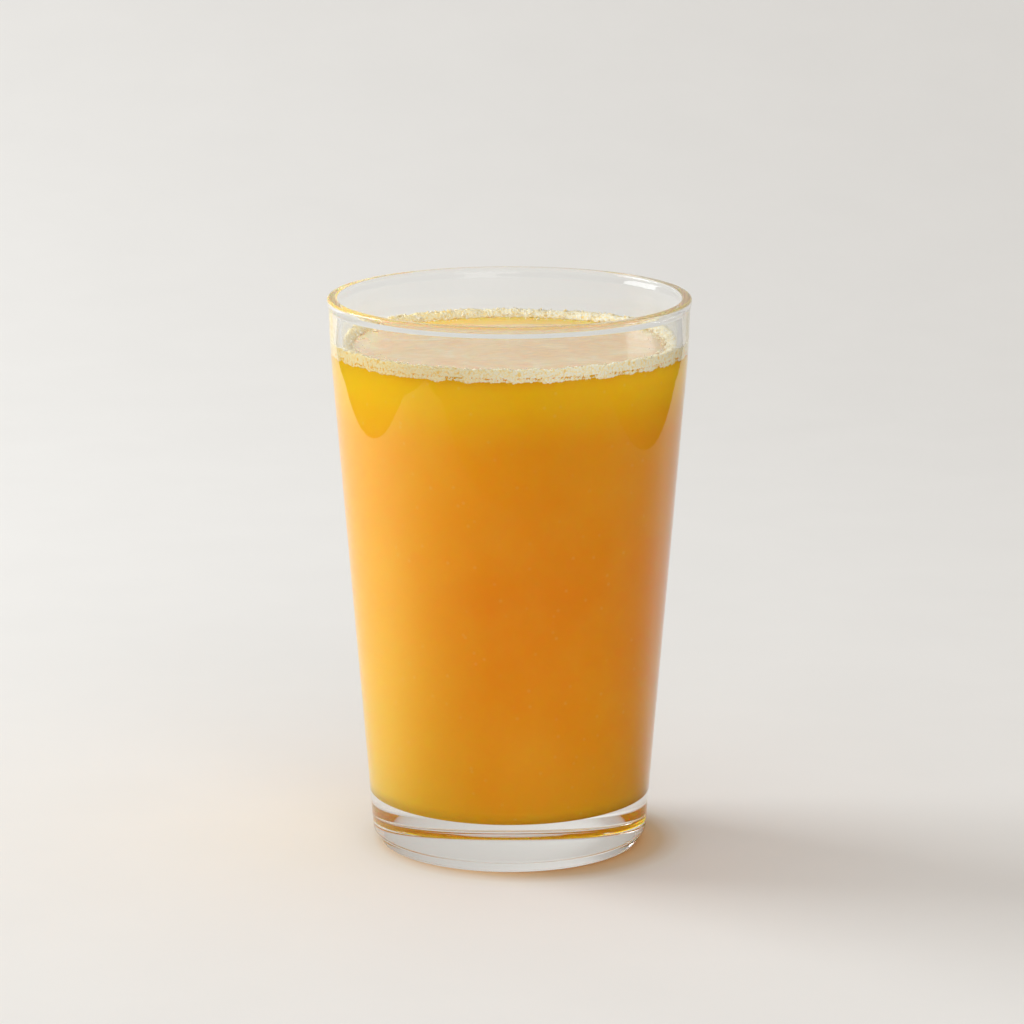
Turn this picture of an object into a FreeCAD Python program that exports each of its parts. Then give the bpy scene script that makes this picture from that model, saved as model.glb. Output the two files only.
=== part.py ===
import FreeCAD, Part
import Sketcher
import math
import os

# A conical drinking glass filled with orange juice, with a ring of froth along the wall.
#
# Millimetres, +Z up. The origin is the middle of the foot, on the surface that the glass stands on.
# The three pieces, the glass, the juice and the froth, are turned about Z from outlines in the XZ plane.

SIZES = {
    # the glass, outside
    "glass_height": 117.3,
    "rim_diameter": 76.4,
    "bead_full": 1.2,            # how far below the rim its bead is still full
    "bead_end": 2.3,             # how far below the rim the bead has run out
    "bead_proud": 0.25,          # how far the bead stands out from the wall
    "bead_round": 1.0,
    "lip_height": 11.7,          # the straighter band below the rim
    "lip_inset": 0.65,           # how far inside the rim the lip band meets the taper
    "lip_blend": 150.0,          # radius of the gentle bend between taper and lip band
    "foot_diameter": 58.0,       # where the taper would meet the ground
    "heel_inset": 1.4,           # how far inside that the glass stands
    "foot_step": 0.45,           # the low upright edge of the foot, below the slanting heel
    "heel_height": 2.4,
    "heel_round": 1.5,
    "foot_edge": 0.15,           # the small round where the foot meets the ground
    # the glass, inside
    "rim_wall": 2.2,
    "rim_round": 0.6,
    "lip_wall": 2.35,
    "base_wall": 2.9,
    "base_thickness": 10.1,
    "floor_round": 3.5,
    # the shallow dome under the foot, and the ring of small bars moulded in it
    "stand_width": 3.6,          # the flat ring that the glass stands on, from the dome to the heel
    "dome_height": 0.7,
    "bar_count": 24,
    "bar_ring_diameter": 37.0,
    "bar_length": 2.0,
    "bar_width": 0.6,
    "bar_relief": 0.1,
    # what fills it
    "fill_clearance": 0.08,
    "level_below_rim": 10.3,
    "froth_below_level": 1.4,    # how far down the wall the froth reaches
    "froth_above_level": 1.8,    # how far up the wall the froth reaches
    "froth_width": 2.2,
    "froth_edge": 0.35,          # how thick the froth is at its inner edge
}

# Formulas that several outlines share, written with the names above.
FOOT_RADIUS = "sizes.foot_diameter / 2"
RIM_RADIUS = "sizes.rim_diameter / 2"
LIP_RADIUS = f"({RIM_RADIUS} - sizes.lip_inset)"
BEND_HEIGHT = "(sizes.glass_height - sizes.lip_height)"
NECK_HEIGHT = "(sizes.glass_height - sizes.bead_end)"
NECK_RADIUS = (f"({LIP_RADIUS} + (sizes.lip_inset - sizes.bead_proud) * ({NECK_HEIGHT} - {BEND_HEIGHT})"
               " / sizes.lip_height)")
DOME_RADIUS = f"({FOOT_RADIUS} - sizes.heel_inset - sizes.stand_width)"
CAVITY_AT_RIM = f"({RIM_RADIUS} - sizes.rim_wall)"
CAVITY_AT_BEND = f"({LIP_RADIUS} - sizes.lip_wall)"
JUICE_LEVEL = "(sizes.glass_height - sizes.level_below_rim)"
FROTH_BOTTOM = f"({JUICE_LEVEL} - sizes.froth_below_level)"
FROTH_TOP = f"({JUICE_LEVEL} + sizes.froth_above_level)"


def taper_radius(height):
    """A formula for the outer wall's radius at a height on the taper."""
    return f"({FOOT_RADIUS} + ({LIP_RADIUS} - {FOOT_RADIUS}) * {height} / {BEND_HEIGHT})"


CAVITY_AT_FLOOR = f"({taper_radius('sizes.base_thickness')} - sizes.base_wall)"


def cavity_radius(height):
    """A formula for the inner wall's radius at a height, which may be on the taper or in the lip band."""
    on_taper = (f"({CAVITY_AT_FLOOR} + ({CAVITY_AT_BEND} - {CAVITY_AT_FLOOR})"
                f" * ({height} - sizes.base_thickness) / ({BEND_HEIGHT} - sizes.base_thickness))")
    in_lip = (f"({CAVITY_AT_BEND} + ({CAVITY_AT_RIM} - {CAVITY_AT_BEND}) * ({height} - {BEND_HEIGHT})"
              f" / sizes.lip_height)")
    return f"min({on_taper}; {in_lip})"


def make_sheet(doc):
    """Put each size in a cell of its own, with its name as the cell's alias."""
    sheet = doc.addObject("Spreadsheet::Sheet", "sizes")
    for row, (name, value) in enumerate(SIZES.items(), start=1):
        sheet.set(f"A{row}", name)
        sheet.set(f"B{row}", str(value))
        sheet.setAlias(f"B{row}", name)
    doc.recompute()


def make_body(doc, label):
    body = doc.addObject("PartDesign::Body", label)
    body.Label = label
    body.Placement = FreeCAD.Placement()
    return body


def origin_feature(body, role):
    return next(feature for feature in body.Origin.OriginFeatures if feature.Role == role)


def value_of(sketch, formula):
    return 0.0 if formula is None else float(sketch.evalExpression(formula))


def place_point(sketch, point, formulas, name):
    """Tie a sketch point to the origin by two formulas, across and up. None leaves it on that axis."""
    across, up = formulas
    for direction, axis, formula in (("DistanceX", -2, across), ("DistanceY", -1, up)):
        if formula is None:
            sketch.addConstraint(Sketcher.Constraint("PointOnObject", *point, axis))
            continue
        distance = Sketcher.Constraint(direction, -1, 1, *point, value_of(sketch, formula))
        label = f"{name}_{direction}"
        sketch.renameConstraint(sketch.addConstraint(distance), label)
        sketch.setExpression(f"Constraints.{label}", formula)


def draw_outline(sketch, corners, blend=None):
    """Draw a closed outline through the corners, each a pair of formulas, counter-clockwise.

    A blend is the number of one convex corner, and the formula of the radius that rounds it.
    """
    count = len(corners)
    places = [FreeCAD.Vector(value_of(sketch, across), value_of(sketch, up)) for across, up in corners]
    sides = [[places[index], places[(index + 1) % count]] for index in range(count)]
    if blend:
        blended, radius_formula = blend
        radius = value_of(sketch, radius_formula)
        arc = tangent_arc(sides[blended - 1], sides[blended], radius)
        sides[blended - 1][1] = arc.StartPoint
        sides[blended][0] = arc.EndPoint
    for start, end in sides:
        sketch.addGeometry(Part.LineSegment(start, end), False)
    for index, formulas in enumerate(corners):
        if blend and index == blended:
            continue
        previous = (index - 1) % count
        sketch.addConstraint(Sketcher.Constraint("Coincident", previous, 2, index, 1))
        place_point(sketch, (index, 1), formulas, f"corner{index}")
    if blend:
        add_blend(sketch, blended, places[blended], corners[blended], arc, radius_formula)


def tangent_arc(before, after, radius):
    """The arc that rounds the left turn between two sides that meet in a corner."""
    corner = after[0]
    arriving = (corner - before[0]).normalize()
    leaving = (after[1] - corner).normalize()
    half_turn = arriving.getAngle(leaving) / 2
    reach = radius * math.tan(half_turn)
    inward = (leaving - arriving).normalize()
    middle = corner + inward * radius * (1 / math.cos(half_turn) - 1)
    return Part.Arc(corner - arriving * reach, middle, corner + leaving * reach)


def add_blend(sketch, index, corner, formulas, arc, radius_formula):
    """Put a tangent arc between two sides. A construction point on both stays where their corner was."""
    curve = sketch.addGeometry(arc, False)
    mark = sketch.addGeometry(Part.Point(corner), True)
    sketch.addConstraint(Sketcher.Constraint("Tangent", index - 1, 2, curve, 1))
    sketch.addConstraint(Sketcher.Constraint("Tangent", curve, 2, index, 1))
    sketch.addConstraint(Sketcher.Constraint("PointOnObject", mark, 1, index - 1))
    sketch.addConstraint(Sketcher.Constraint("PointOnObject", mark, 1, index))
    place_point(sketch, (mark, 1), formulas, f"corner{index}")
    round_size = Sketcher.Constraint("Radius", curve, value_of(sketch, radius_formula))
    sketch.renameConstraint(sketch.addConstraint(round_size), "blend_radius")
    sketch.setExpression("Constraints.blend_radius", radius_formula)


def turned_outline(body, kind, name, corners, blend=None):
    """Turn an outline about Z. The kind is a Revolution, which adds, or a Groove, which cuts."""
    sketch = body.newObject("Sketcher::SketchObject", f"{name}_outline")
    sketch.AttachmentSupport = (origin_feature(body, "XZ_Plane"), "")
    sketch.MapMode = "FlatFace"
    draw_outline(sketch, corners, blend)
    feature = body.newObject(f"PartDesign::{kind}", name)
    feature.Profile = sketch
    feature.ReferenceAxis = (sketch, ["V_Axis"])
    feature.Angle = 360
    body.Document.recompute()
    return feature, sketch


def ring_edges(feature, sketch, corners):
    """Names of the round edges that the numbered corners of a turned outline left on a feature."""
    names = []
    for corner in corners:
        place = sketch.getPoint(corner, 1)
        for number, edge in enumerate(feature.Shape.Edges, start=1):
            curve = edge.Curve
            if not isinstance(curve, Part.Circle):
                continue
            if abs(curve.Radius - place.x) < 1e-4 and abs(curve.Center.z - place.y) < 1e-4:
                names.append(f"Edge{number}")
    return names


def round_rings(body, feature, sketch, corners, name, radius):
    """Round the edges that the numbered corners of a turned outline left on a feature."""
    fillet = body.newObject("PartDesign::Fillet", name)
    fillet.Base = (feature, ring_edges(feature, sketch, corners))
    fillet.setExpression("Radius", radius)
    body.Document.recompute()
    return fillet


def must_change(feature, before, grows):
    """Stop if a feature did not add or take away material, as one that points the wrong way would."""
    change = feature.Shape.Volume - before
    if change == 0 or (change > 0) != grows:
        raise RuntimeError(f"{feature.Name} changed the volume by {change}")


def make_glass(doc):
    body = make_body(doc, "glass")
    # from the middle of the foot, up the outside, over the rim and down the inside to the floor
    corners = [
        (None, None),
        (f"{FOOT_RADIUS} - sizes.heel_inset", None),
        (f"{FOOT_RADIUS} - sizes.heel_inset", "sizes.foot_step"),
        (taper_radius("sizes.heel_height"), "sizes.heel_height"),
        (LIP_RADIUS, BEND_HEIGHT),
        (NECK_RADIUS, NECK_HEIGHT),
        (RIM_RADIUS, "sizes.glass_height - sizes.bead_full"),
        (RIM_RADIUS, "sizes.glass_height"),
        (CAVITY_AT_RIM, "sizes.glass_height"),
        (CAVITY_AT_BEND, BEND_HEIGHT),
        (CAVITY_AT_FLOOR, "sizes.base_thickness"),
        (None, "sizes.base_thickness"),
    ]
    wall, sketch = turned_outline(body, "Revolution", "wall", corners, blend=(4, "sizes.lip_blend"))
    heel = round_rings(body, wall, sketch, [3], "heel", "sizes.heel_round")
    edge = round_rings(body, heel, sketch, [1], "foot", "sizes.foot_edge")
    floor = round_rings(body, edge, sketch, [10], "floor_corner", "sizes.floor_round")
    bead = round_rings(body, floor, sketch, [5, 6], "bead", "sizes.bead_round")
    rim = round_rings(body, bead, sketch, [7, 8], "rim", "min(sizes.rim_round; 0.49 * sizes.rim_wall)")
    cut_dome(body, rim)
    add_bars(body)
    return body


def cut_dome(body, solid):
    """A shallow dome under the foot, which leaves a flat ring to stand on."""
    before = solid.Shape.Volume
    # Two straight sides meet halfway up. The arc that blends them takes up nine tenths of each.
    corners = [
        (None, None),
        (DOME_RADIUS, None),
        (f"{DOME_RADIUS} / 2", "sizes.dome_height"),
        (None, "sizes.dome_height"),
    ]
    arc_radius = f"0.9 * 2 * ({DOME_RADIUS} / 2)^2 / sizes.dome_height"
    dome, _ = turned_outline(body, "Groove", "dome", corners, blend=(2, arc_radius))
    must_change(dome, before, grows=False)


def add_bars(body):
    """Short radial bars that stand down from the dome, evenly spaced in a ring."""
    doc = body.Document
    before = body.Tip.Shape.Volume
    sketch = body.newObject("Sketcher::SketchObject", "bar_outline")
    sketch.AttachmentSupport = (origin_feature(body, "XY_Plane"), "")
    sketch.MapMode = "FlatFace"
    ceiling = f"sizes.dome_height * (1 - (sizes.bar_ring_diameter / 2 / {DOME_RADIUS})^2)"
    sketch.setExpression("AttachmentOffset.Base.z", f"{ceiling} - sizes.bar_relief")
    near = "sizes.bar_ring_diameter / 2 - sizes.bar_length / 2"
    far = "sizes.bar_ring_diameter / 2 + sizes.bar_length / 2"
    side = "sizes.bar_width / 2"
    draw_outline(sketch, [(near, f"-{side}"), (far, f"-{side}"), (far, side), (near, side)])
    bar = body.newObject("PartDesign::Pad", "bar")
    bar.Profile = sketch
    bar.setExpression("Length", "2 * sizes.bar_relief")
    doc.recompute()
    must_change(bar, before, grows=True)
    ring = body.newObject("PartDesign::PolarPattern", "bar_ring")
    ring.Originals = [bar]
    ring.Axis = (origin_feature(body, "Z_Axis"), [""])
    ring.Angle = 360
    ring.setExpression("Occurrences", "sizes.bar_count")
    body.Tip = ring
    doc.recompute()
    must_change(ring, bar.Shape.Volume, grows=True)


def make_juice(doc):
    """The juice fills the cavity to its level, less the rebate in which the froth lies."""
    body = make_body(doc, "juice")
    floor = "(sizes.base_thickness + sizes.fill_clearance)"
    rebate_bottom = f"({FROTH_BOTTOM} - sizes.fill_clearance)"
    rebate_inside = f"({cavity_radius(JUICE_LEVEL)} - sizes.froth_width)"
    corners = [
        (None, floor),
        (f"{CAVITY_AT_FLOOR} - sizes.fill_clearance", floor),
        (f"{cavity_radius(rebate_bottom)} - sizes.fill_clearance", rebate_bottom),
        (rebate_inside, f"{JUICE_LEVEL} - sizes.froth_edge - sizes.fill_clearance"),
        (rebate_inside, JUICE_LEVEL),
        (None, JUICE_LEVEL),
    ]
    drink, sketch = turned_outline(body, "Revolution", "drink", corners)
    round_rings(body, drink, sketch, [1], "drink_corner", "sizes.floor_round")
    return body


def make_froth(doc):
    """A wedge-shaped ring of froth, thick at the wall and thin at its inner edge."""
    body = make_body(doc, "froth")
    inside = f"({cavity_radius(JUICE_LEVEL)} - sizes.froth_width + sizes.fill_clearance)"
    corners = [
        (f"{cavity_radius(FROTH_BOTTOM)} - sizes.fill_clearance", FROTH_BOTTOM),
        (f"{cavity_radius(FROTH_TOP)} - sizes.fill_clearance", FROTH_TOP),
        (inside, JUICE_LEVEL),
        (inside, f"{JUICE_LEVEL} - sizes.froth_edge"),
    ]
    turned_outline(body, "Revolution", "ring_of_froth", corners)
    return body


def check_document(doc, bodies):
    for item in doc.Objects:
        if "Invalid" in item.State or "Error" in item.State:
            raise RuntimeError(f"{item.Name} failed: {item.State}")
    for body in bodies:
        if body.Shape.isNull() or not body.Shape.isValid() or len(body.Shape.Solids) != 1:
            raise RuntimeError(f"{body.Label} is not one valid solid")


def main():
    doc = FreeCAD.newDocument("glass_of_orange_juice")
    make_sheet(doc)
    bodies = [make_glass(doc), make_juice(doc), make_froth(doc)]
    doc.recompute()
    check_document(doc, bodies)
    os.makedirs("parts", exist_ok=True)
    for body in bodies:
        body.Shape.exportStep(f"parts/{body.Label}.step")
        print(f"{body.Label}: {body.Shape.Volume / 1000:.2f} ml")


main()
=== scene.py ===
import math
import random

import bmesh
import bpy
from mathutils import Matrix, Vector, noise


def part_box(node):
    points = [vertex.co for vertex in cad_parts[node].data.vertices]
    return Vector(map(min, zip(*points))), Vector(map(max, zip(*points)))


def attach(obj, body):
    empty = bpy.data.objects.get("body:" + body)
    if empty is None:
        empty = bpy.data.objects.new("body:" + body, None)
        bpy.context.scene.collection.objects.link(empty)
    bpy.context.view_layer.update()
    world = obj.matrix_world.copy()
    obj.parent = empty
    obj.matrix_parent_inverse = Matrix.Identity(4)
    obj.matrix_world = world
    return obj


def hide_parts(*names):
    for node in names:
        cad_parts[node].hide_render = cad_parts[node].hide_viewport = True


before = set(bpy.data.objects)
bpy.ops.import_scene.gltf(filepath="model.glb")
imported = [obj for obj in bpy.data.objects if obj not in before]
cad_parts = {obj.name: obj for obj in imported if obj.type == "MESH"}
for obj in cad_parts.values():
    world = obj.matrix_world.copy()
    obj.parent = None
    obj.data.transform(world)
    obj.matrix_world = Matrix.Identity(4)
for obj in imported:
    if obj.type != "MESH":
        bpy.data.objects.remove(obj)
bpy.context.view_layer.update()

# ---------------------------------------------------------------- sizes, in metres
MM = 0.001
GLASS_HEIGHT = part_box("glass")[1].z
JUICE_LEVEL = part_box("juice")[1].z
FROTH_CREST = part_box("froth")[1].z

RIM_RADIUS = 38.19 * MM
RIM_WALL = 2.2 * MM
RIM_ROUND = 0.6 * MM
BEAD_FULL = 1.2 * MM             # how far below the rim its bead is still full
BEAD_END = 2.3 * MM              # and where it has run out
BEAD_PROUD = 0.25 * MM
BEAD_ROUND = 1.0 * MM
LIP_HEIGHT = 11.7 * MM           # the band under the rim in which the wall is a little steeper
LIP_RADIUS = 37.55 * MM
LIP_WALL = 2.35 * MM
LIP_BLEND = 150 * MM             # the radius that blends this band into the taper
FOOT_RADIUS = 29.0 * MM
HEEL_INSET = 1.4 * MM
FOOT_STEP = 0.45 * MM            # the upright edge between the foot and the slanting heel
HEEL_HEIGHT = 2.4 * MM
HEEL_ROUND = 1.5 * MM
FOOT_EDGE = 0.15 * MM
BASE_WALL = 2.9 * MM
BASE_THICKNESS = 10.1 * MM
FLOOR_ROUND = 3.5 * MM
DOME_RADIUS = 24.0 * MM          # the shallow hollow under the foot
DOME_HEIGHT = 0.7 * MM
DOME_RINGS = (0.0, 5 * MM, 10 * MM, 14 * MM)
BAR_INSIDE = 17.5 * MM
BAR_OUTSIDE = 19.5 * MM
BAR_COUNT = 24
BAR_RELIEF = 0.05 * MM
TURN_STEPS_PER_BAR = 11
BAR_STEPS = 2                    # how many of those steps are raised as the bar

TURN_STEPS = BAR_COUNT * TURN_STEPS_PER_BAR
BEND_HEIGHT = GLASS_HEIGHT - LIP_HEIGHT
WETTING = 0.12 * MM              # how far what fills the glass reaches into its wall
FROTH_WETTING = 0.16 * MM
FROTH_WIDTH = 2.2 * MM
FROTH_DEPTH = 1.3 * MM           # how far down the wall the froth reaches
FROTH_RISE = 1.4 * MM            # how far up the wall the froth reaches
FROTH_TAIL = 0.6 * MM            # the froth's lower end, which dips under the juice's skin
FROTH_TAIL_DIP = 0.4 * MM
FROTH_STEPS = 1000
FROTH_WALL_STEPS = 18
EDGE_WAVE_LENGTH = 2.2 * MM      # the unevenness of the froth's upper and lower edges
EDGE_WAVE_ABOVE = 0.45 * MM
EDGE_WAVE_BELOW = 0.35 * MM
BUBBLE_CELL = 0.42 * MM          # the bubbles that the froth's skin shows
DIMPLE_FULL = 0.6
WALL_SKIN = 0.25 * MM            # what lies nearer to the wall than this is pressed against it
WALL_DIMPLE = 0.055 * MM
OPEN_DIMPLE_UP = 0.14 * MM
OPEN_DIMPLE_IN = 0.10 * MM
REBATE_TOP = 0.35 * MM           # the rebate in the juice in which the froth lies
REBATE_DEPTH = 0.6 * MM
REBATE_REACH = 0.3 * MM
SURFACE_RINGS = 70
RIPPLE_LENGTH = 1.6 * MM
RIPPLE_HEIGHT = 0.10 * MM
SKIN_DEPTH = 0.3 * MM            # faces nearer to the level than this belong to the open surface
PAINTED_SHADE_START = 24 * MM            # beyond this, towards the back, the open surface is painted as clear juice with no film or coat: painted shade for the dark back wall that it mirrors there
PAINTED_SHADE_BLEND = 3 * MM

SEED = 7
WALL_BUBBLES = 2000
CREST_BUBBLES = 1600
DRIFTING_BUBBLES = 400


def taper_radius(height):
    """The outer wall's radius on the taper."""
    return FOOT_RADIUS + (LIP_RADIUS - FOOT_RADIUS) * height / BEND_HEIGHT


def lip_radius(height):
    """The outer wall's radius in the lip band, under the rim's bead."""
    share = (height - BEND_HEIGHT) / LIP_HEIGHT
    return LIP_RADIUS + (RIM_RADIUS - BEAD_PROUD - LIP_RADIUS) * share


CAVITY_AT_FLOOR = taper_radius(BASE_THICKNESS) - BASE_WALL
CAVITY_AT_BEND = LIP_RADIUS - LIP_WALL
CAVITY_AT_RIM = RIM_RADIUS - RIM_WALL


def cavity_radius(height):
    """The inner wall's radius, on the taper or in the lip band."""
    if height < BEND_HEIGHT:
        share = (height - BASE_THICKNESS) / (BEND_HEIGHT - BASE_THICKNESS)
        return CAVITY_AT_FLOOR + (CAVITY_AT_BEND - CAVITY_AT_FLOOR) * share
    share = (height - BEND_HEIGHT) / LIP_HEIGHT
    return CAVITY_AT_BEND + (CAVITY_AT_RIM - CAVITY_AT_BEND) * share


# ---------------------------------------------------------------- mesh helpers
def new_object(name, bm, *materials):
    mesh = bpy.data.meshes.new(name)
    bm.to_mesh(mesh)
    bm.free()
    piece = bpy.data.objects.new(name, mesh)
    bpy.context.scene.collection.objects.link(piece)
    for material in materials:
        mesh.materials.append(material)
    return piece


def shade_smooth(bm):
    for face in bm.faces:
        face.smooth = True


def on_ring(angle, radius, height):
    return Vector((math.cos(angle) * radius, math.sin(angle) * radius, height))


def outline(corners):
    """A bmesh with one open outline in the XZ plane.

    Each corner is a radius, a height, the radius that rounds it (0 for none) and the arc's segments.
    """
    bm = bmesh.new()
    verts = [bm.verts.new((across, 0, up)) for across, up, _, _ in corners]
    for start, end in zip(verts, verts[1:]):
        bm.edges.new((start, end))
    rounded = [(vert, corner) for vert, corner in zip(verts, corners) if corner[2]]
    turns = []
    for vert, corner in rounded:
        before, after = [edge.other_vert(vert).co - vert.co for edge in vert.link_edges]
        half_turn = (math.pi - before.angle(after)) / 2
        turns.append(corner[2] * math.tan(half_turn))
    for (vert, corner), reach in zip(rounded, turns):
        bmesh.ops.bevel(bm, geom=[vert], offset=reach, offset_type="OFFSET", segments=corner[3],
                        profile=0.5, affect="VERTICES", material=-1)
    return bm


def turn(bm, steps=TURN_STEPS):
    """Turn the outline about Z into a closed skin with its normals outwards."""
    bmesh.ops.spin(bm, geom=bm.verts[:] + bm.edges[:], cent=(0, 0, 0), axis=(0, 0, 1),
                   angle=2 * math.pi, steps=steps, use_merge=True)
    bmesh.ops.remove_doubles(bm, verts=bm.verts[:], dist=1e-7)
    bmesh.ops.recalc_face_normals(bm, faces=bm.faces[:])
    shade_smooth(bm)


# ---------------------------------------------------------------- colours
GLASS_TINT = (0.985, 0.992, 0.985, 1)
GLASS_SHADOW = (0.90, 0.90, 0.89, 1)
# Painted light: the juice is painted yellower in its upper part, where light comes in through the open
# surface, and deeper orange below.
JUICE_PAINTED_TOP_LIGHT = [(0.0, (0.95, 0.45, 0.02)), (0.5, (0.92, 0.375, 0.02)), (0.84, (0.978, 0.43, 0.018)),
                   (0.93, (0.993, 0.585, 0.016)), (0.965, (0.996, 0.57, 0.014)), (1.0, (0.998, 0.42, 0.014))]
JUICE_CLOUD = (0.99, 0.60, 0.06, 1)
# Painted light: the juice's colour on the key light's side, painted yellower on the left.
JUICE_PAINTED_LIT_SIDE = (0.97, 0.62, 0.03, 1)
# Painted shade: the open surface's colour at the back, where it mirrors the dark back wall.
JUICE_CLEAR_PAINTED_SHADE = (0.98, 0.60, 0.05, 1)
JUICE_FILM = [(0.35, (0.995, 0.54, 0.16)), (0.55, (0.995, 0.63, 0.25)), (0.7, (0.995, 0.71, 0.35))]
JUICE_SCATTER = (1.0, 0.5, 0.1)
JUICE_SCATTER_DEPTH = 0.010
PULP = (0.99, 0.72, 0.22, 1)
FROTH_CREAM = [(0.0, (1.0, 1.0, 0.97)), (0.3, (1.0, 0.99, 0.88)), (0.55, (1.0, 0.95, 0.70)),
               (0.8, (0.99, 0.80, 0.38))]
FROTH_PIT = (0.96, 0.66, 0.12, 1)
# Painted light: the froth's tint on the key light's side, towards the left.
FROTH_PAINTED_LIT_SIDE = (1.0, 0.90, 0.66, 1)
FROTH_SHADOW = (0.9, 0.82, 0.6, 1)
BUBBLE_TINTS = [(0.3, (0.98, 0.80, 0.42)), (0.5, (0.99, 0.90, 0.66)), (0.7, (1.0, 0.95, 0.80))]
SHEET_COLOR = (0.84, 0.835, 0.825)
GRAIN_SHADE = 0.985


# ---------------------------------------------------------------- material helpers
class Nodes:
    """A short hand for building a node tree."""

    def __init__(self, tree):
        self.tree = tree

    def add(self, kind, inputs=None, **settings):
        node = self.tree.nodes.new(kind)
        for name, value in settings.items():
            setattr(node, name, value)
        for name, value in (inputs or {}).items():
            if isinstance(value, bpy.types.NodeSocket):
                self.tree.links.new(value, node.inputs[name])
            else:
                node.inputs[name].default_value = value
        return node


def new_material(name):
    material = bpy.data.materials.new(name)
    material.use_nodes = True
    material.node_tree.nodes.clear()
    return material, Nodes(material.node_tree)


def color_ramp(nodes, factor, stops):
    """Blend between stops, each a place from 0 to 1 and a colour."""
    node = nodes.add("ShaderNodeValToRGB", {"Fac": factor})
    elements = node.color_ramp.elements
    while len(elements) < len(stops):
        elements.new(0.5)
    for element, (place, color) in zip(elements, stops):
        element.position = place
        element.color = (*color, 1)
    return node.outputs["Color"]


def map_range(nodes, value, start, end, low=0.0, high=1.0):
    """Map what lies between start and end to low to high, and hold it there beyond them."""
    node = nodes.add("ShaderNodeMapRange", {"Value": value, "From Min": start, "From Max": end,
                                            "To Min": low, "To Max": high})
    return node.outputs[0]


def math_node(nodes, operation, *values):
    node = nodes.add("ShaderNodeMath", dict(enumerate(values)), operation=operation)
    return node.outputs[0]


def blend(nodes, share, first, second, blend_type="MIX"):
    node = nodes.add("ShaderNodeMix", {0: share, 6: first, 7: second}, data_type="RGBA",
                     blend_type=blend_type)
    return node.outputs[2]


def part_of_vector(nodes, coords, axis):
    return nodes.add("ShaderNodeSeparateXYZ", {"Vector": coords}).outputs[axis]


def part_of_color(nodes, color, channel):
    return nodes.add("ShaderNodeSeparateColor", {"Color": color}).outputs[channel]


def finish_surface(nodes, shader):
    nodes.add("ShaderNodeOutputMaterial", {"Surface": shader.outputs[0]})


def finish_with_light_shadow(nodes, shader, shadow_color):
    """Let light through in shadows, in the given colour, where the surface itself would block it."""
    clear = nodes.add("ShaderNodeBsdfTransparent", {"Color": shadow_color})
    path = nodes.add("ShaderNodeLightPath")
    mix = nodes.add("ShaderNodeMixShader", {0: path.outputs["Is Shadow Ray"], 1: shader.outputs[0],
                                            2: clear.outputs[0]})
    finish_surface(nodes, mix)


def mirror_ray(nodes):
    """1 for a ray that a smooth surface turned back, 0 for one that went through glass or was scattered."""
    path = nodes.add("ShaderNodeLightPath")
    return math_node(nodes, "MULTIPLY", path.outputs["Is Glossy Ray"], path.outputs["Is Reflection Ray"])


# ---------------------------------------------------------------- materials
def clear_glass():
    """Pressed glass: clear, smooth, with the faint waviness of its mould. Its shadow lets light through."""
    material, nodes = new_material("clear_glass")
    coords = nodes.add("ShaderNodeTexCoord").outputs["Object"]
    wave = nodes.add("ShaderNodeTexNoise", {
        "Vector": coords, "Scale": 55.0, "Detail": 1.0, "Roughness": 0.4})
    bump = nodes.add("ShaderNodeBump", {
        "Height": wave.outputs["Fac"], "Strength": 0.05, "Distance": 0.6 * MM})
    shader = nodes.add("ShaderNodeBsdfPrincipled", {
        "Base Color": GLASS_TINT, "Roughness": 0.0, "IOR": 1.5, "Transmission Weight": 1.0,
        "Normal": bump.outputs["Normal"]})
    finish_with_light_shadow(nodes, shader, GLASS_SHADOW)
    return material


def juice_color(nodes, coords):
    """Orange juice, cloudy, with pale flecks of pulp. Painted light: it is painted yellower in its upper
    part, where light comes in through the open surface, and on the left, the key light's side, more so lower
    down.
    """
    height = part_of_vector(nodes, coords, "Z")
    share = map_range(nodes, height, 10 * MM, JUICE_LEVEL)
    # painted light: yellower in the upper part, where light comes in through the open surface
    painted_top_light = color_ramp(nodes, share, JUICE_PAINTED_TOP_LIGHT)
    cloud = nodes.add("ShaderNodeTexNoise", {
        "Vector": coords, "Scale": 60.0, "Detail": 4.0, "Roughness": 0.6})
    cloudy = map_range(nodes, cloud.outputs["Fac"], 0.4, 0.75, high=0.25)
    clouded = blend(nodes, cloudy, painted_top_light, JUICE_CLOUD)
    # painted light: yellower towards the left, the key light's side, more so lower down
    across = part_of_vector(nodes, coords, "X")
    side = map_range(nodes, across, -4 * MM, -26 * MM, high=0.9)
    low = map_range(nodes, share, 0.9, 0.1, low=0.25)
    painted_side_tint = blend(nodes, math_node(nodes, "MULTIPLY", side, low), clouded, JUICE_PAINTED_LIT_SIDE)
    pulp = nodes.add("ShaderNodeTexVoronoi", {"Vector": coords, "Scale": 450.0})
    lot = part_of_color(nodes, pulp.outputs["Color"], "Green")
    here = math_node(nodes, "GREATER_THAN", lot, 0.62)
    spot = map_range(nodes, pulp.outputs["Distance"], 0.22, 0.05, high=0.22)
    return blend(nodes, math_node(nodes, "MULTIPLY", here, spot), painted_side_tint, PULP)


def juice_body():
    """The juice seen through the wall: cloudy, lit from within, with no gloss where glass touches it."""
    material, nodes = new_material("juice_body")
    coords = nodes.add("ShaderNodeTexCoord").outputs["Object"]
    shader = nodes.add("ShaderNodeBsdfPrincipled", {
        "Base Color": juice_color(nodes, coords), "Roughness": 0.6, "IOR": 1.34, "Specular IOR Level": 0.0,
        "Subsurface Weight": 1.0, "Subsurface Radius": JUICE_SCATTER,
        "Subsurface Scale": JUICE_SCATTER_DEPTH})
    finish_surface(nodes, shader)
    return material


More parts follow.
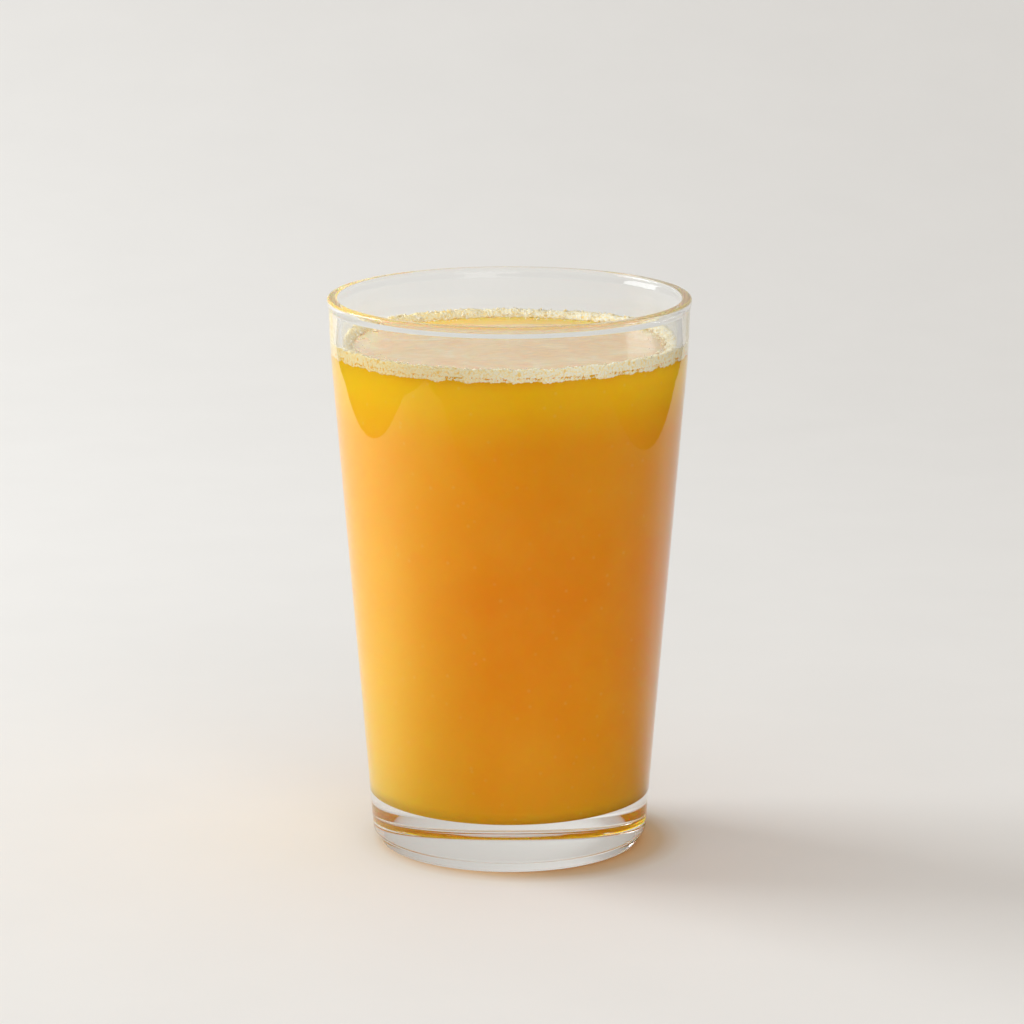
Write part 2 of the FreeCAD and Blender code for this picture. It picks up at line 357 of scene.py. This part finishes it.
def juice_surface():
    """The open surface of the juice: wet, with fine ripples and drifting pulp. Towards the back it is
    painted as clear juice without film or coat, as painted shade for the dark back wall that it mirrors
    there.
    """
    material, nodes = new_material("juice_surface")
    coords = nodes.add("ShaderNodeTexCoord").outputs["Object"]
    ripple = nodes.add("ShaderNodeTexNoise", {"Vector": coords, "Scale": 260.0, "Detail": 3.0})
    drift = nodes.add("ShaderNodeTexNoise", {
        "Vector": coords, "Scale": 90.0, "Detail": 5.0, "Distortion": 1.5})
    film = color_ramp(nodes, drift.outputs["Fac"], JUICE_FILM)
    # painted shade: towards the back the film and the coat are left off, for the dark back wall that the
    # surface mirrors there
    across = part_of_vector(nodes, coords, "Y")
    ragged = math_node(nodes, "MULTIPLY_ADD", ripple.outputs["Fac"], 4 * MM, across)
    clear = map_range(nodes, ragged, PAINTED_SHADE_START, PAINTED_SHADE_START + PAINTED_SHADE_BLEND)
    tint = blend(nodes, clear, film, JUICE_CLEAR_PAINTED_SHADE)
    coat = map_range(nodes, clear, 0.0, 1.0, low=1.0, high=0.0)
    bump = nodes.add("ShaderNodeBump", {
        "Height": ripple.outputs["Fac"], "Strength": 0.15, "Distance": 0.4 * MM})
    shader = nodes.add("ShaderNodeBsdfPrincipled", {
        "Base Color": tint, "Roughness": 0.22, "IOR": 1.6, "Coat Weight": coat, "Coat Roughness": 0.22,
        "Subsurface Weight": 1.0, "Subsurface Radius": JUICE_SCATTER,
        "Subsurface Scale": JUICE_SCATTER_DEPTH, "Normal": bump.outputs["Normal"]})
    finish_surface(nodes, shader)
    return material


def froth_material():
    """Froth: a mass of fine bubbles, cream where they are small, with yellow pits where juice shows. Painted
    light: it is tinted yellower towards the left, the key light's side.
    """
    material, nodes = new_material("froth")
    coords = nodes.add("ShaderNodeTexCoord").outputs["Object"]
    fine = nodes.add("ShaderNodeTexVoronoi", {"Vector": coords, "Scale": 2400.0})
    coarse = nodes.add("ShaderNodeTexVoronoi", {"Vector": coords, "Scale": 1000.0})
    patches = nodes.add("ShaderNodeTexNoise", {"Vector": coords, "Scale": 120.0, "Detail": 3.0})
    cream = color_ramp(nodes, fine.outputs["Distance"], FROTH_CREAM)
    lot = part_of_color(nodes, coarse.outputs["Color"], "Red")
    chance = math_node(nodes, "MULTIPLY", lot, patches.outputs["Fac"])
    burst = color_ramp(nodes, chance, [(0.36, (0, 0, 0)), (0.42, (1, 1, 1))])
    middle = color_ramp(nodes, coarse.outputs["Distance"], [(0.25, (0.75, 0.75, 0.75)), (0.45, (0, 0, 0))])
    tint = blend(nodes, math_node(nodes, "MULTIPLY", burst, middle), cream, FROTH_PIT)
    # painted light: yellower towards the left, the key light's side
    across = part_of_vector(nodes, coords, "X")
    side = map_range(nodes, across, 6 * MM, -24 * MM)
    painted_side_tint = blend(nodes, side, tint, FROTH_PAINTED_LIT_SIDE, "MULTIPLY")
    bump = nodes.add("ShaderNodeBump", {
        "Height": fine.outputs["Distance"], "Strength": 0.7, "Distance": 0.2 * MM}, invert=True)
    shader = nodes.add("ShaderNodeBsdfPrincipled", {
        "Base Color": painted_side_tint, "Roughness": 0.3, "Specular IOR Level": 0.3, "Normal": bump.outputs["Normal"]})
    finish_with_light_shadow(nodes, shader, FROTH_SHADOW)
    return material


def bubble_film():
    """The skin of single bubbles: pale, wet and shiny, with the juice's colour showing faintly."""
    material, nodes = new_material("bubble_film")
    coords = nodes.add("ShaderNodeTexCoord").outputs["Object"]
    cloud = nodes.add("ShaderNodeTexNoise", {"Vector": coords, "Scale": 700.0, "Detail": 2.0})
    tint = color_ramp(nodes, cloud.outputs["Fac"], BUBBLE_TINTS)
    shader = nodes.add("ShaderNodeBsdfPrincipled", {
        "Base Color": tint, "Roughness": 0.15, "Coat Weight": 0.5})
    finish_surface(nodes, shader)
    return material


def paper(name, color):
    """A matt pale sheet with a barely visible grain. Its mirror image fades in front of the glass. Close
    around the foot a warm shadow and glow are painted into its colour.
    """
    material, nodes = new_material(name)
    coords = nodes.add("ShaderNodeTexCoord").outputs["Object"]
    grain = nodes.add("ShaderNodeTexNoise", {"Vector": coords, "Scale": 30.0, "Detail": 4.0})
    darker = tuple(GRAIN_SHADE * part for part in color)
    tint = color_ramp(nodes, grain.outputs["Fac"], [(0.3, darker), (0.7, color)])
    around = nodes.add("ShaderNodeTexGradient", {"Vector": coords}, gradient_type="RADIAL").outputs["Fac"]
    fade = color_ramp(nodes, around, [(place, (level,) * 3) for place, level in MIRROR_FADE])
    mirrored = blend(nodes, 1.0, tint, fade, "MULTIPLY")
    seen = blend(nodes, mirror_ray(nodes), tint, mirrored)
    # painted shadow and light: a warm, darker patch around the foot
    from_foot = nodes.add("ShaderNodeVectorMath", {0: coords, 1: WARM_MIDDLE}, operation="DISTANCE")
    painted_warm_patch = color_ramp(nodes, map_range(nodes, from_foot.outputs["Value"], 0.0, WARM_REACH), PAINTED_WARM_SHADE_AND_GLOW)
    with_painted_warm_patch = blend(nodes, 1.0, seen, painted_warm_patch, "MULTIPLY")
    shader = nodes.add("ShaderNodeBsdfPrincipled", {
        "Base Color": with_painted_warm_patch, "Roughness": 0.9, "Specular IOR Level": 0.0})
    finish_surface(nodes, shader)
    return material


# ---------------------------------------------------------------- pieces
def make_glass(material):
    """The tumbler, from the hollow under its foot, up the outside, over the rim and down the inside."""
    dome = (*DOME_RINGS, BAR_INSIDE, BAR_OUTSIDE, DOME_RADIUS - 2 * MM, DOME_RADIUS - 1 * MM, DOME_RADIUS)
    bm = outline([(radius, DOME_HEIGHT * (1 - (radius / DOME_RADIUS) ** 2), 0, 0) for radius in dome] + [
        (FOOT_RADIUS - HEEL_INSET, 0, FOOT_EDGE, 4),
        (FOOT_RADIUS - HEEL_INSET, FOOT_STEP, 0, 0),
        (taper_radius(HEEL_HEIGHT), HEEL_HEIGHT, HEEL_ROUND, 10),
        (LIP_RADIUS, BEND_HEIGHT, LIP_BLEND, 10),
        (lip_radius(GLASS_HEIGHT - BEAD_END), GLASS_HEIGHT - BEAD_END, BEAD_ROUND, 6),
        (RIM_RADIUS, GLASS_HEIGHT - BEAD_FULL, BEAD_ROUND, 6),
        (RIM_RADIUS, GLASS_HEIGHT, RIM_ROUND, 8),
        (CAVITY_AT_RIM, GLASS_HEIGHT, RIM_ROUND, 8),
        (CAVITY_AT_BEND, BEND_HEIGHT, LIP_BLEND, 6),
        (CAVITY_AT_FLOOR, BASE_THICKNESS, FLOOR_ROUND, 12),
        (0, BASE_THICKNESS, 0, 0),
    ])
    turn(bm)
    raise_bars(bm)
    glass = new_object("glass_body", bm, material)
    even = glass.modifiers.new("even_normals", "WEIGHTED_NORMAL")
    even.keep_sharp = True
    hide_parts("glass")
    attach(glass, "root")


def raise_bars(bm):
    """Short radial bars that stand down from the dome under the foot."""
    chosen = []
    step = 2 * math.pi / TURN_STEPS
    for face in bm.faces:
        middle = face.calc_center_median()
        radius = math.hypot(middle.x, middle.y)
        on_ceiling = middle.z < DOME_HEIGHT and BAR_INSIDE < radius < BAR_OUTSIDE
        number = int(math.atan2(middle.y, middle.x) % (2 * math.pi) / step)
        if on_ceiling and number % TURN_STEPS_PER_BAR < BAR_STEPS:
            chosen.append(face)
    made = bmesh.ops.extrude_face_region(bm, geom=chosen)
    bmesh.ops.delete(bm, geom=chosen, context="FACES")
    verts = [item for item in made["geom"] if isinstance(item, bmesh.types.BMVert)]
    bmesh.ops.translate(bm, verts=verts, vec=(0, 0, -BAR_RELIEF))
    for vert in verts:
        for face in vert.link_faces:
            face.smooth = False


def make_juice(body, surface):
    """The drink. It reaches just into the glass, and leaves a rebate in which the ring of froth lies."""
    shore = cavity_radius(JUICE_LEVEL) - FROTH_WIDTH
    rebate = JUICE_LEVEL - REBATE_TOP
    corners = [
        (0, BASE_THICKNESS - WETTING, 0, 0),
        (CAVITY_AT_FLOOR + WETTING, BASE_THICKNESS - WETTING, FLOOR_ROUND, 12),
        (cavity_radius(rebate) + WETTING, rebate, 0, 0),
        (shore + REBATE_REACH, JUICE_LEVEL - REBATE_DEPTH, 0, 0),
        (shore + REBATE_REACH, JUICE_LEVEL, 0, 0),
    ]
    corners += [(shore * ring / SURFACE_RINGS, JUICE_LEVEL, 0, 0) for ring in range(SURFACE_RINGS, -1, -1)]
    bm = outline(corners)
    turn(bm)
    ripple_surface(bm)
    for face in bm.faces:
        face.material_index = 1 if face.calc_center_median().z > JUICE_LEVEL - SKIN_DEPTH else 0
    juice = new_object("juice_body", bm, body, surface)
    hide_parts("juice")
    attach(juice, "root")


def ripple_surface(bm):
    """Lower the open surface a little, unevenly, as drifting pulp and bubbles leave it."""
    for vert in bm.verts:
        if vert.co.z < JUICE_LEVEL - 1e-6:
            continue
        place = vert.co / RIPPLE_LENGTH
        vert.co.z -= RIPPLE_HEIGHT * (0.5 + 0.5 * noise.noise(Vector((place.x, place.y, 3.7))))


def froth_section():
    """The froth's closed cross-section: up the wall, down the inner slope, and back underneath."""
    low = JUICE_LEVEL - FROTH_DEPTH - FROTH_TAIL
    high = JUICE_LEVEL + FROTH_RISE
    inside = cavity_radius(JUICE_LEVEL) - FROTH_WIDTH
    wall = []
    for step in range(FROTH_WALL_STEPS + 1):
        height = low + (high - low) * step / FROTH_WALL_STEPS
        dip = FROTH_TAIL_DIP * max(0.0, 1 - (height - low) / FROTH_TAIL)
        wall.append((cavity_radius(height) + FROTH_WETTING - dip, height))
    slope = [(0.72, 0.98), (0.5, 0.80), (0.3, 0.55), (0.15, 0.32), (0.0, 0.10)]
    crest = cavity_radius(high) + FROTH_WETTING
    over = [(inside + (crest - inside) * across, JUICE_LEVEL + FROTH_RISE * up) for across, up in slope]
    under = [(inside, JUICE_LEVEL - 0.45 * MM), (inside + 0.9 * MM, JUICE_LEVEL - 0.9 * MM)]
    return wall + over + under


def make_froth(material):
    """A ring of fine bubbles along the wall, uneven above and below, with pits where bubbles have burst."""
    section = froth_section()
    bm = bmesh.new()
    verts = [bm.verts.new((radius, 0, height)) for radius, height in section]
    for start, end in zip(verts, verts[1:] + verts[:1]):
        bm.edges.new((start, end))
    turn(bm, FROTH_STEPS)
    for vert in bm.verts:
        loosen_froth(vert)
    froth = new_object("froth_ring", bm, material)
    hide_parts("froth")
    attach(froth, "root")


def loosen_froth(vert):
    """Push one point of the ring about: wavy edges, lumps, and the dimples between bubbles."""
    turn_angle = math.atan2(vert.co.y, vert.co.x)
    radius = math.hypot(vert.co.x, vert.co.y)
    height = vert.co.z
    around = Vector((math.cos(turn_angle), math.sin(turn_angle), 0)) * radius
    edge_place = around / EDGE_WAVE_LENGTH
    wave = noise.noise(edge_place) + 0.5 * noise.noise(edge_place * 3.1) + 0.35 * noise.noise(edge_place * 8)
    share = (height - JUICE_LEVEL) / (FROTH_RISE if height > JUICE_LEVEL else FROTH_DEPTH)
    height += wave * abs(share) * (EDGE_WAVE_ABOVE if share > 0 else EDGE_WAVE_BELOW)
    height = min(height, FROTH_CREST)
    cell = noise.voronoi(Vector((around.x, around.y, height)) / BUBBLE_CELL)[0]
    dimple = min(cell[1] - cell[0], DIMPLE_FULL) / DIMPLE_FULL
    wall = cavity_radius(height) + FROTH_WETTING
    if wall - radius < WALL_SKIN:
        radius -= WALL_DIMPLE * (1 - dimple)
    else:
        height += OPEN_DIMPLE_UP * (dimple - DIMPLE_FULL)
        radius -= OPEN_DIMPLE_IN * (dimple - DIMPLE_FULL)
    height = min(height, FROTH_CREST)
    vert.co = on_ring(turn_angle, radius, height)


def make_bubbles(name, material, count, place):
    """Scattered bubbles: the place function gives each one's middle and radius."""
    ball = bmesh.new()
    bmesh.ops.create_icosphere(ball, subdivisions=1, radius=1.0)
    shade_smooth(ball)
    pattern = bpy.data.meshes.new("one_bubble")
    ball.to_mesh(pattern)
    ball.free()
    bm = bmesh.new()
    for _ in range(count):
        middle, radius = place()
        size = Matrix.Diagonal((radius, radius, radius * random.uniform(0.75, 1.0), 1))
        spin = Matrix.Rotation(random.uniform(0, math.tau), 4, "Z")
        bubble = pattern.copy()
        bubble.transform(Matrix.Translation(middle) @ size @ spin)
        bm.from_mesh(bubble)
        bpy.data.meshes.remove(bubble)
    bpy.data.meshes.remove(pattern)
    bubbles = new_object(name, bm, material)
    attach(bubbles, "root")


def wall_bubble():
    """A bubble pressed against the wall, mostly near the froth's upper edge."""
    angle = random.uniform(0, math.tau)
    size = 0.11 * MM + 0.26 * MM * random.random() ** 3
    height = JUICE_LEVEL + abs(random.gauss(0.9, 0.45)) * MM
    height = min(height, FROTH_CREST - size)
    return on_ring(angle, cavity_radius(height) + WETTING - size * 0.9, height), size


def crest_bubble():
    """A bubble on the froth's inner slope or just off it, on the open surface."""
    angle = random.uniform(0, math.tau)
    size = 0.12 * MM + 0.35 * MM * random.random() ** 3
    offshore = abs(random.gauss(0, 1.3)) * MM
    radius = cavity_radius(JUICE_LEVEL) - 0.4 * MM - offshore
    slope = max(0.0, 1 - offshore / FROTH_WIDTH)
    height = JUICE_LEVEL + FROTH_RISE * 0.75 * slope + size * 0.2
    return on_ring(angle, radius, min(height, FROTH_CREST - size)), size


def drifting_bubble():
    """A small bubble afloat on the open surface."""
    angle = random.uniform(0, math.tau)
    size = 0.07 * MM + 0.12 * MM * random.random() ** 2
    radius = cavity_radius(JUICE_LEVEL) - FROTH_WIDTH - abs(random.gauss(0, 1.5)) * MM
    return on_ring(angle, radius, JUICE_LEVEL - size * 0.3), size


# ---------------------------------------------------------------- the set
BOARD = {"left": -0.315, "right": 0.305, "front": -0.235, "back": 0.45}
# How bright the board's mirror image is, by the turn about the glass: 0 and 1 are left, 0.25 is front,
# 0.5 is right and 0.75 is back.
MIRROR_FADE = [(0.0, 1.0), (0.03, 0.85), (0.09, 0.42), (0.14, 0.22), (0.2, 0.08), (0.42, 0.08), (0.52, 0.35),
               (0.60, 1.0), (1.0, 1.0)]
# Painted shadow and light: a warm shadow with the orange glow that the juice would throw is painted into the
# sheet's colour close around the foot, more to the right, away from the key light.
WARM_MIDDLE = (0.004, -0.002, 0.0)
WARM_REACH = 0.040
PAINTED_WARM_SHADE_AND_GLOW = [(0.0, (0.95, 0.62, 0.30)), (0.57, (0.95, 0.62, 0.30)), (0.71, (0.86, 0.70, 0.50)),
              (0.75, (0.90, 0.80, 0.68)), (0.83, (0.98, 0.97, 0.93)), (0.93, (1, 1, 1)), (1.0, (1, 1, 1))]
GROUND = -0.03 * MM              # a film of air lies between the foot and the ground
SHEET_SIDE = 2.2
SHEET_FRONT = -0.9
SWEEP_START = BOARD["back"]
SWEEP_RADIUS = 0.9
SWEEP_STEPS = 32
SWEEP_RISE = 1.2


def flat_panel(name, material, left, right, front, back):
    bm = bmesh.new()
    corners = [(left, front, GROUND), (right, front, GROUND), (right, back, GROUND), (left, back, GROUND)]
    bm.faces.new([bm.verts.new(corner) for corner in corners])
    panel = new_object(name, bm, material)
    return panel


def make_set(material):
    """A pale sheet on the floor that sweeps up behind. Of the floor, only its middle board is mirrored."""
    flat_panel("board", material, BOARD["left"], BOARD["right"], BOARD["front"], BOARD["back"])
    around = [
        flat_panel("sheet_front", material, -SHEET_SIDE, SHEET_SIDE, SHEET_FRONT, BOARD["front"]),
        flat_panel("sheet_left", material, -SHEET_SIDE, BOARD["left"], BOARD["front"], BOARD["back"]),
        flat_panel("sheet_right", material, BOARD["right"], SHEET_SIDE, BOARD["front"], BOARD["back"]),
    ]
    for panel in around:
        panel.visible_glossy = False
    bm = bmesh.new()
    start = [bm.verts.new((side, SWEEP_START, GROUND)) for side in (-SHEET_SIDE, SHEET_SIDE)]
    edge = bm.edges.new(start)
    middle = (0, SWEEP_START, GROUND + SWEEP_RADIUS)
    made = bmesh.ops.spin(bm, geom=[edge, *start], cent=middle, axis=(1, 0, 0), angle=math.radians(90),
                          steps=SWEEP_STEPS)
    last = [item for item in made["geom_last"] if isinstance(item, bmesh.types.BMEdge)]
    risen = bmesh.ops.extrude_edge_only(bm, edges=last)
    verts = [item for item in risen["geom"] if isinstance(item, bmesh.types.BMVert)]
    bmesh.ops.translate(bm, verts=verts, vec=(0, 0, SWEEP_RISE))
    shade_smooth(bm)
    sweep = new_object("sweep", bm, material)


KEY_PLACE = (-0.85, 0.30, 0.62)
KEY_AIM = (0, 0, 0.05)
KEY_SIZE = (0.55, 0.55)
KEY_POWER = 6.4
KEY_COLOR = (0.95, 0.985, 1.0)
FILL_PLACE = (0.30, -1.05, 0.60)
FILL_AIM = (0, 0, 0.06)
FILL_SIZE = (0.9, 0.6)
FILL_POWER = 2.9
FILL_COLOR = (1.0, 0.97, 0.93)
ROOM_COLOR = (1.0, 0.962, 0.915, 1)
ROOM_STRENGTH = 0.635
MIRRORED_ROOM_COLOR = (0.1, 0.09, 0.08, 1)
MIRRORED_ROOM_STRENGTH = 0.3


def area_light(name, place, aim, size, power, color):
    data = bpy.data.lights.new(name, "AREA")
    data.shape = "RECTANGLE"
    data.size, data.size_y = size
    data.energy = power
    data.color = color
    lamp = bpy.data.objects.new(name, data)
    lamp.location = place
    lamp.rotation_euler = (Vector(aim) - Vector(place)).to_track_quat("-Z", "Y").to_euler()
    bpy.context.scene.collection.objects.link(lamp)
    return lamp


def make_light():
    """A window-like key from behind on the left, a weak fill from the front, and a pale room."""
    area_light("key", KEY_PLACE, KEY_AIM, KEY_SIZE, KEY_POWER, KEY_COLOR)
    front = area_light("front_fill", FILL_PLACE, FILL_AIM, FILL_SIZE, FILL_POWER, FILL_COLOR)
    front.visible_glossy = False
    world = bpy.data.worlds.new("room")
    world.use_nodes = True
    world.node_tree.nodes.clear()
    nodes = Nodes(world.node_tree)
    bright = nodes.add("ShaderNodeBackground", {"Color": ROOM_COLOR, "Strength": ROOM_STRENGTH})
    dark = nodes.add("ShaderNodeBackground", {
        "Color": MIRRORED_ROOM_COLOR, "Strength": MIRRORED_ROOM_STRENGTH})
    mix = nodes.add("ShaderNodeMixShader", {0: mirror_ray(nodes), 1: bright.outputs[0], 2: dark.outputs[0]})
    nodes.add("ShaderNodeOutputWorld", {"Surface": mix.outputs[0]})
    bpy.context.scene.world = world


CAMERA_DISTANCE = 0.9170
CAMERA_HEIGHT = 0.27525
CAMERA_PITCH = 0.2192
LENS = 156.16
SENSOR = 36.0
SHIFT = 0.0025


def make_camera():
    data = bpy.data.cameras.new("camera")
    data.lens = LENS
    data.sensor_width = SENSOR
    data.shift_x = SHIFT
    data.clip_start = 0.01
    data.clip_end = 20
    camera = bpy.data.objects.new("camera", data)
    camera.location = (0, -CAMERA_DISTANCE, CAMERA_HEIGHT)
    camera.rotation_euler = (math.pi / 2 - CAMERA_PITCH, 0, 0)
    bpy.context.scene.collection.objects.link(camera)
    bpy.context.scene.camera = camera


def render_choices():
    scene = bpy.context.scene
    scene.view_settings.view_transform = "Standard"
    scene.cycles.max_bounces = 32
    scene.cycles.transmission_bounces = 24
    scene.cycles.transparent_max_bounces = 16
    scene.cycles.glossy_bounces = 24
    scene.cycles.diffuse_bounces = 4
    scene.cycles.use_denoising = True


def main():
    make_glass(clear_glass())
    make_juice(juice_body(), juice_surface())
    random.seed(SEED)
    make_froth(froth_material())
    bubbles = bubble_film()
    make_bubbles("wall_bubbles", bubbles, WALL_BUBBLES, wall_bubble)
    make_bubbles("crest_bubbles", bubbles, CREST_BUBBLES, crest_bubble)
    make_bubbles("drifting_bubbles", bubbles, DRIFTING_BUBBLES, drifting_bubble)
    make_set(paper("pale_sheet", SHEET_COLOR))
    make_light()
    make_camera()
    render_choices()


main()
